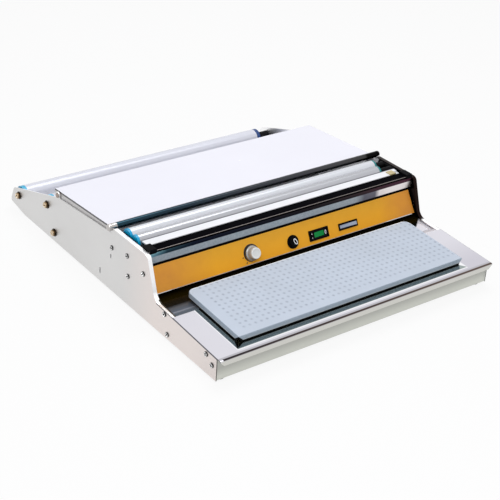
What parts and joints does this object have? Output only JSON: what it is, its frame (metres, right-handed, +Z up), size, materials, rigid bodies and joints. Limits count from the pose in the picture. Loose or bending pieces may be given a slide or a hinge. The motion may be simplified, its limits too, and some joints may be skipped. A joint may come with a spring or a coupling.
{
  "type": "tabletop stretch film wrapper",
  "caption": "Tabletop stretch film wrapper: heated plate on a front shelf, slanted control panel, hot-wire cutter, film rollers and a lift-up cover between two sheet side panels.",
  "frame": {"origin": "middle of the footprint, on the plane that the rubber feet stand on", "axes": "+X to the operator's right, +Y from the front lip to the film rollers at the back, +Z up"},
  "size_m": [0.598, 0.6954, 0.1336],
  "materials": {
    "side_panel": "satin grey sheet with a faint grain",
    "base_steel": "satin sheet",
    "apron_steel": "satin sheet, grey-green in the light",
    "shelf_steel": "polished sheet that mirrors the plate",
    "label_yellow": "plain printed yellow film",
    "bar_steel": "polished blue-grey bar",
    "black_plastic": "black",
    "strip_white": "white glass-cloth strip",
    "clip_tan": "tan",
    "wire_steel": "bright wire",
    "feed_grey": "grey tube",
    "feed_white": "white tube",
    "feed_cap_blue": "blue",
    "axle_steel": "bright turned steel",
    "sleeve_black": "black sleeve",
    "film_roller_grey": "pale grey tube",
    "film_cap_blue": "blue",
    "screw_brass": "bright brass",
    "screw_steel": "bright zinc",
    "rod_chrome": "polished",
    "cover_steel": "smooth bluish white",
    "plate_coated": "woven non-stick film, pale blue-grey",
    "mat_rubber": "red-brown silicone",
    "board_tan": "insulating board",
    "spacer_ceramic": "ceramic",
    "knob_chrome": "bright fluted knob",
    "fuse_glass": "clear",
    "lens_green": "clear green",
    "rocker_grey": "grey",
    "core_steel": "varnished",
    "foot_rubber": "black rubber"
  },
  "bodies": {
    "frame": {"left_side_panel": "side_panel", "right_side_panel": "side_panel", "base_plate": "base_steel", "front_apron": "apron_steel", "front_shelf": "shelf_steel", "trough_plate": "shelf_steel", "head_casing": "shelf_steel", "control_label": "label_yellow", "head_front_bar": "bar_steel", "cutter_bar": "black_plastic", "strip_bar": "bar_steel", "film_strip": "strip_white", "strip_clip": "clip_tan", "hot_wire": "wire_steel", "wire_end_blocks": "black_plastic", "wire_tension_leaf": "wire_steel", "feed_axles": "axle_steel", "feed_sleeves": "sleeve_black", "feed_bearings": "black_plastic", "film_axles": "axle_steel", "film_sleeves": "sleeve_black", "rear_tie_rod": "axle_steel", "axle_screws": "screw_brass", "left_panel_screws": "screw_steel", "right_panel_screws": "screw_steel", "cover_pivot_screws": "screw_steel", "cover_rests": "base_steel", "heated_plate": "plate_coated", "heater_mat": "mat_rubber", "heater_board": "board_tan", "plate_spacers": "spacer_ceramic", "thermostat": "axle_steel", "fuse_holder": "black_plastic", "cutter_switch_bezel": "black_plastic", "main_switch_bezel": "black_plastic", "wire_transformer": "core_steel", "cord_gland": "black_plastic", "rubber_feet": "foot_rubber", "foot_screws": "screw_steel"},
    "front_feed_roller": {"front_feed_roller": "feed_grey", "front_feed_roller_caps": "feed_cap_blue"},
    "back_feed_roller": {"back_feed_roller": "feed_white", "back_feed_roller_caps": "feed_cap_blue"},
    "front_film_roller": {"front_film_roller": "film_roller_grey", "front_film_roller_caps": "film_cap_blue"},
    "back_film_roller": {"back_film_roller": "film_roller_grey", "back_film_roller_caps": "film_cap_blue"},
    "guide_rod": {"guide_rod": "rod_chrome"},
    "cover": {"cover_plate": "cover_steel"},
    "heat_knob": {"heat_knob": "knob_chrome", "thermostat_shaft": "axle_steel"},
    "fuse_cap": {"fuse_cap": "black_plastic", "glass_fuse": "fuse_glass"},
    "cutter_switch_rocker": {"cutter_switch_rocker": "black_plastic", "cutter_switch_lens": "lens_green"},
    "main_switch_rocker": {"main_switch_rocker": "rocker_grey"}
  },
  "joints": [
    {"name": "front_feed_roller_turn", "type": "hinge", "parent": "frame", "child": "front_feed_roller", "pos_m": [0, -0.0792, 0.122], "axis": [1, 0, 0], "continuous": true},
    {"name": "back_feed_roller_turn", "type": "hinge", "parent": "frame", "child": "back_feed_roller", "pos_m": [0, -0.0557, 0.122], "axis": [1, 0, 0], "continuous": true},
    {"name": "front_film_roller_turn", "type": "hinge", "parent": "frame", "child": "front_film_roller", "pos_m": [0, 0.2027, 0.0672], "axis": [1, 0, 0], "continuous": true},
    {"name": "back_film_roller_turn", "type": "hinge", "parent": "frame", "child": "back_film_roller", "pos_m": [0, 0.3147, 0.0365], "axis": [1, 0, 0], "continuous": true},
    {"name": "guide_rod_turn", "type": "hinge", "parent": "frame", "child": "guide_rod", "pos_m": [0, -0.0227, 0.1255], "axis": [1, 0, 0], "continuous": true},
    {"name": "cover_turn", "type": "hinge", "parent": "frame", "child": "cover", "pos_m": [0, 0.1616, 0.1037], "axis": [-1, 0, 0], "range_deg": [0, 85]},
    {"name": "heat_knob_turn", "type": "hinge", "parent": "frame", "child": "heat_knob", "pos_m": [-0.0875, -0.1441, 0.07642], "axis": [0, 0.9065, -0.4222], "range_deg": [0, 270]},
    {"name": "fuse_cap_turn", "type": "hinge", "parent": "frame", "child": "fuse_cap", "pos_m": [0.0005, -0.14516, 0.07415], "axis": [0, 0.9065, -0.4222], "range_deg": [0, 90]},
    {"name": "cutter_switch_rocker_turn", "type": "hinge", "parent": "frame", "child": "cutter_switch_rocker", "pos_m": [0.05825, -0.14425, 0.07373], "axis": [0, 0.4222, 0.9065], "range_deg": [-12, 0]},
    {"name": "main_switch_rocker_turn", "type": "hinge", "parent": "frame", "child": "main_switch_rocker", "pos_m": [0.12575, -0.14425, 0.07373], "axis": [0, 0.4222, 0.9065], "range_deg": [0, 12]}
  ]
}
